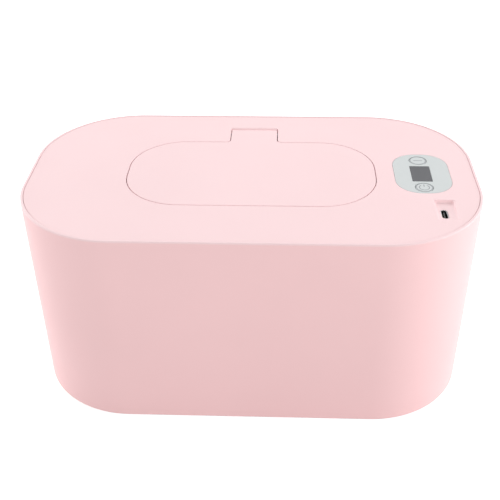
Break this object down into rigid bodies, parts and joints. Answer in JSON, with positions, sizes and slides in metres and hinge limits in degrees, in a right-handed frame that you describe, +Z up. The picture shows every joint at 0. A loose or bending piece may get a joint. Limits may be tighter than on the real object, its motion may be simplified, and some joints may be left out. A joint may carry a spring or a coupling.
{
  "type": "baby wipe warmer",
  "caption": "Tapered rounded tub with a heated lift-off cover, a hinged flip lid over the dispensing mouth, a panel with a display and keys, and a USB-C inlet.",
  "frame": {"origin": "on the surface that the warmer stands on, below the middle of the tub", "axes": "+X towards the end with the control panel, -Y towards the front, +Z up"},
  "size_m": [0.23, 0.1354, 0.111],
  "materials": {
    "shell_pink": "satin moulded ABS",
    "liner_white": "satin moulded PP",
    "insulation_foam": "closed-cell foam",
    "silicone_white": "matte silicone",
    "panel_grey": "satin overlay",
    "window_grey": "smoked window",
    "heater_aluminium": "anodised sheet",
    "film_amber": "polyimide film",
    "screw_steel": "zinc-plated",
    "inlet_steel": "nickel-plated",
    "board_green": "solder mask",
    "component_black": "moulded",
    "part_white": "moulded nylon",
    "wire_red": "silicone lead",
    "wire_black": "silicone lead"
  },
  "bodies": {
    "tub": {"tub": "shell_pink", "liner": "liner_white", "liner_screws": "screw_steel", "insulation_sleeve": "insulation_foam", "insulation_pad": "insulation_foam", "foot_front_left": "silicone_white", "foot_front_right": "silicone_white", "foot_rear_left": "silicone_white", "foot_rear_right": "silicone_white"},
    "cover": {"top_cover": "shell_pink", "cover_base": "liner_white", "cover_seal": "silicone_white", "cover_screws": "screw_steel", "mouth_insert": "silicone_white", "heater_plate": "heater_aluminium", "heating_film": "film_amber", "heater_foam": "insulation_foam", "temperature_sensor": "component_black", "thermal_fuse": "part_white", "heater_leads": "wire_red", "sensor_leads": "wire_black", "lead_connector": "part_white", "control_board": "board_green", "board_screws": "screw_steel", "control_panel": "panel_grey", "display_window": "window_grey", "display_module": "component_black", "power_switch": "component_black", "mode_switch": "component_black", "usb_socket": "inlet_steel", "usb_tongue": "component_black", "hinge_pin": "screw_steel"},
    "flip_lid": {"flip_lid": "shell_pink", "lid_inner_panel": "liner_white", "lid_seal": "silicone_white"},
    "power_key": {"power_key": "panel_grey", "power_plunger": "component_black"},
    "mode_key": {"mode_key": "panel_grey", "mode_plunger": "component_black"}
  },
  "joints": [
    {"name": "cover_lift", "type": "slide", "parent": "tub", "child": "cover", "axis": [0, 0, 1], "range_m": [0, 0.12]},
    {"name": "lid_hinge", "type": "hinge", "parent": "cover", "child": "flip_lid", "pos_m": [0, 0.0475, 0.1082], "axis": [-1, 0, 0], "range_deg": [0, 100]},
    {"name": "power_key_press", "type": "slide", "parent": "cover", "child": "power_key", "axis": [0, 0, -1], "range_m": [0, 0.0004], "stiffness_N_per_m": 600, "springref_m": -0.001},
    {"name": "mode_key_press", "type": "slide", "parent": "cover", "child": "mode_key", "axis": [0, 0, -1], "range_m": [0, 0.0004], "stiffness_N_per_m": 600, "springref_m": -0.001}
  ]
}
